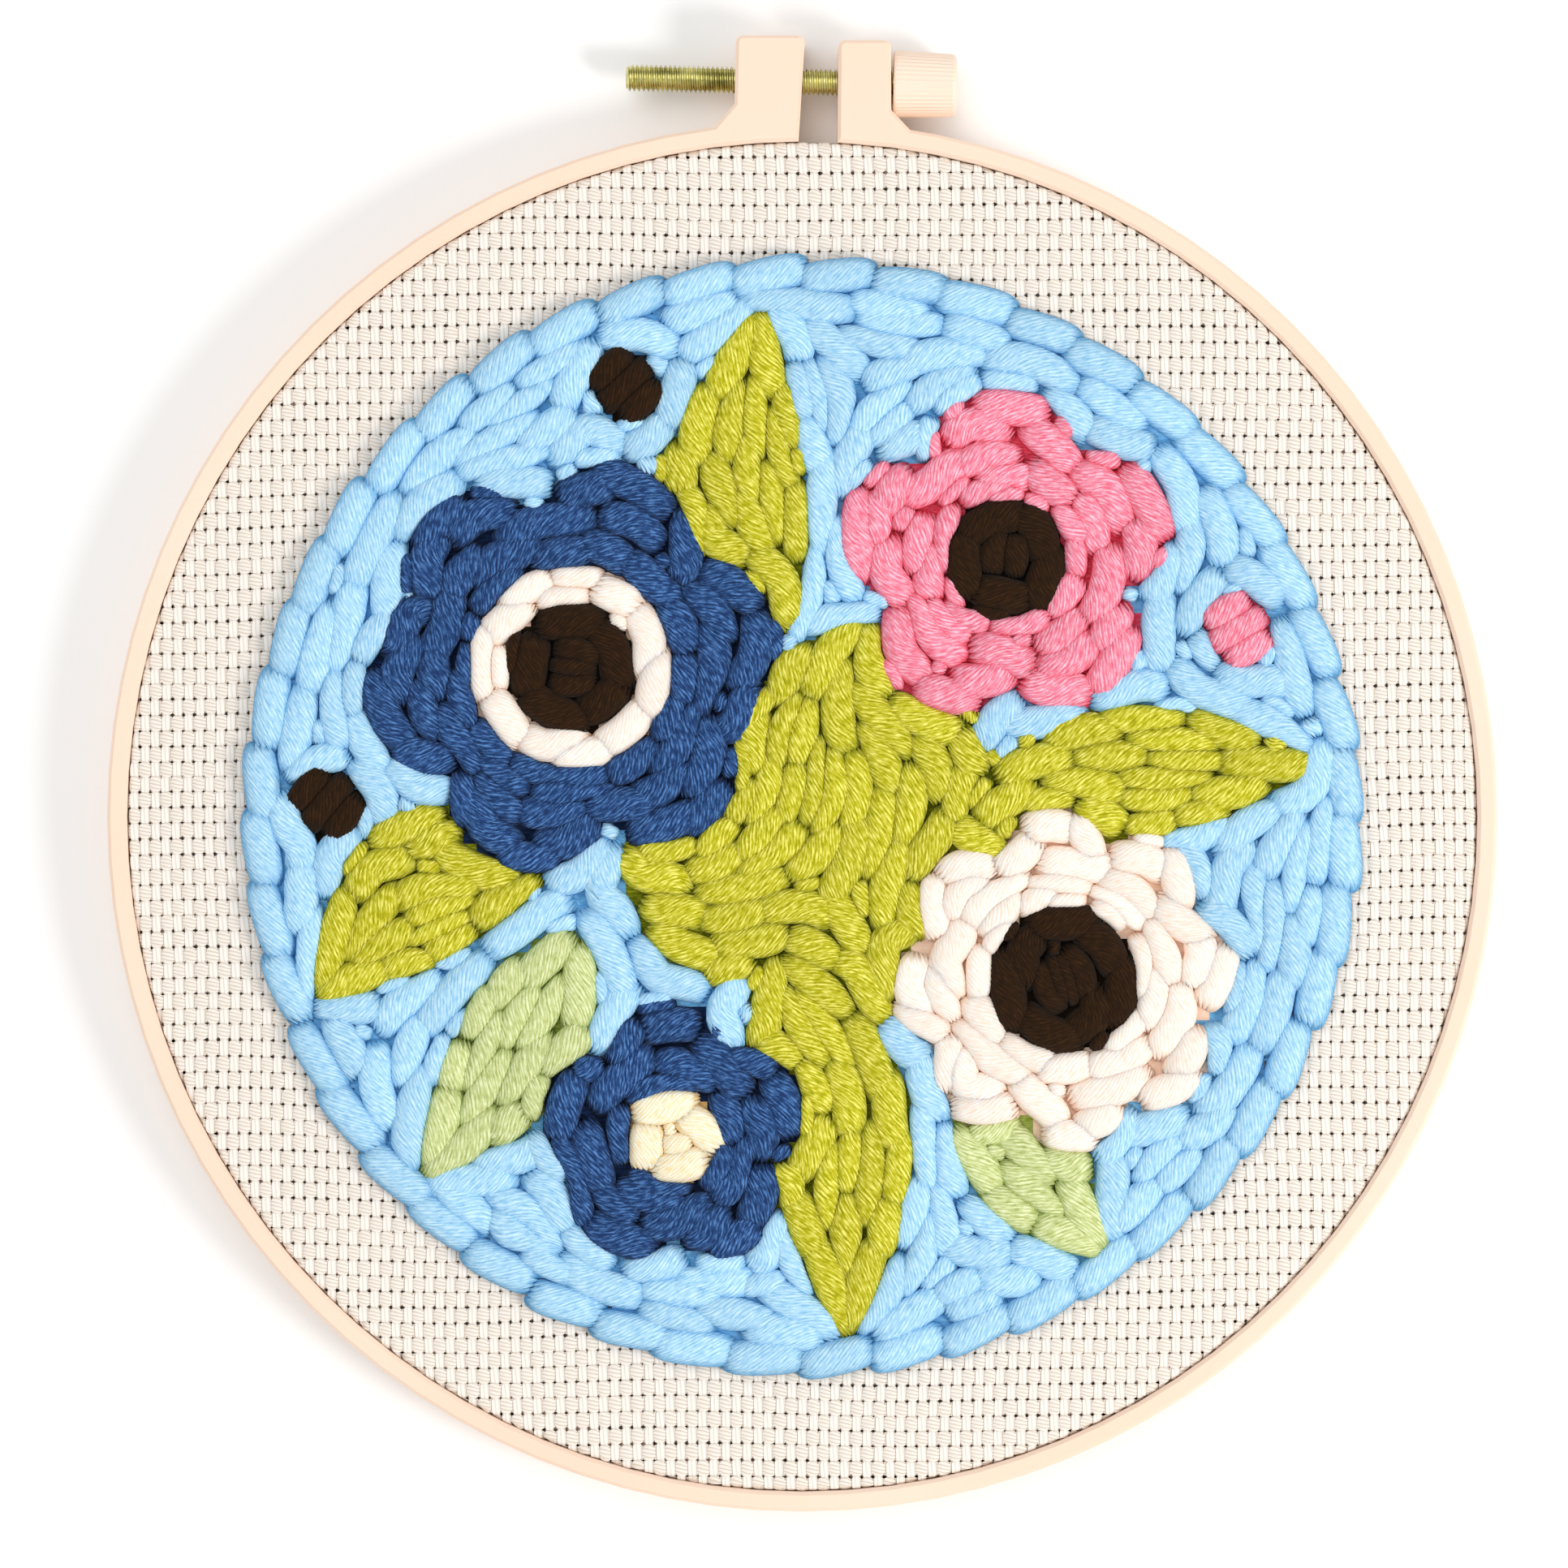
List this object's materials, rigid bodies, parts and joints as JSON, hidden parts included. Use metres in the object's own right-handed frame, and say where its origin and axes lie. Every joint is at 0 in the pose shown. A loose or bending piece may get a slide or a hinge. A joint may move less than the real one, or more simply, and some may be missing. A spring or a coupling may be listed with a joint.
{
  "type": "embroidery hoop art, stitched cloth in a clamp hoop",
  "caption": "Round plastic embroidery hoop with a screw clamp, holding even-weave cloth stitched in thick soft yarn with flowers and leaves on sky blue.",
  "frame": {"origin": "under the middle of the whole outline, on the surface that the hoop lies on", "axes": "+X to the viewer's right across the stitching, +Y up the stitching through the clamp, +Z out of the stitched face"},
  "size_m": [0.205, 0.2178, 0.0136],
  "materials": {
    "hoop_plastic": "smooth peach plastic with a soft sheen",
    "screw_zinc": "yellow zinc plating on an M4 thread",
    "ground_cotton": "even plain weave, white warp over cream weft",
    "yarn_sky_blue": "soft twisted yarn",
    "yarn_olive": "soft twisted yarn",
    "yarn_sage": "soft twisted yarn",
    "yarn_navy": "soft twisted yarn",
    "yarn_pink": "soft twisted yarn",
    "yarn_cream": "soft twisted yarn",
    "yarn_yellow": "soft twisted yarn",
    "yarn_dark_brown": "soft twisted yarn"
  },
  "bodies": {
    "hoop": {"outer_ring": "hoop_plastic", "inner_ring": "hoop_plastic", "ground_cloth": "ground_cotton", "yarn_sky": "yarn_sky_blue", "yarn_foliage": "yarn_olive", "yarn_leaf_top": "yarn_olive", "yarn_leaf_right": "yarn_olive", "yarn_leaf_left": "yarn_olive", "yarn_leaf_bottom": "yarn_olive", "yarn_sage_left": "yarn_sage", "yarn_sage_right": "yarn_sage", "yarn_navy_petals": "yarn_navy", "yarn_small_petals": "yarn_navy", "yarn_pink_petals": "yarn_pink", "yarn_daisy_petals": "yarn_cream", "yarn_navy_ring": "yarn_cream", "yarn_navy_core": "yarn_dark_brown", "yarn_pink_core": "yarn_dark_brown", "yarn_daisy_core": "yarn_dark_brown", "yarn_small_core": "yarn_yellow", "yarn_berry_top": "yarn_dark_brown", "yarn_berry_right": "yarn_pink", "yarn_berry_left": "yarn_dark_brown"},
    "screw": {"clamp_screw": "screw_zinc"},
    "grip": {"knob": "hoop_plastic"}
  },
  "joints": [
    {"name": "screw_travel", "type": "slide", "parent": "hoop", "child": "screw", "axis": [0.9997, -0.0244, 0], "range_m": [0, 0.0259]},
    {"name": "knob_turn", "type": "hinge", "parent": "screw", "child": "grip", "pos_m": [0, 0.10255, 0.0052], "axis": [0.9997, -0.0244, 0], "range_deg": [0, 13320]}
  ],
  "couplings": [
    {"joint": "knob_turn", "follows": "screw_travel", "rad_per_m": 8976}
  ]
}
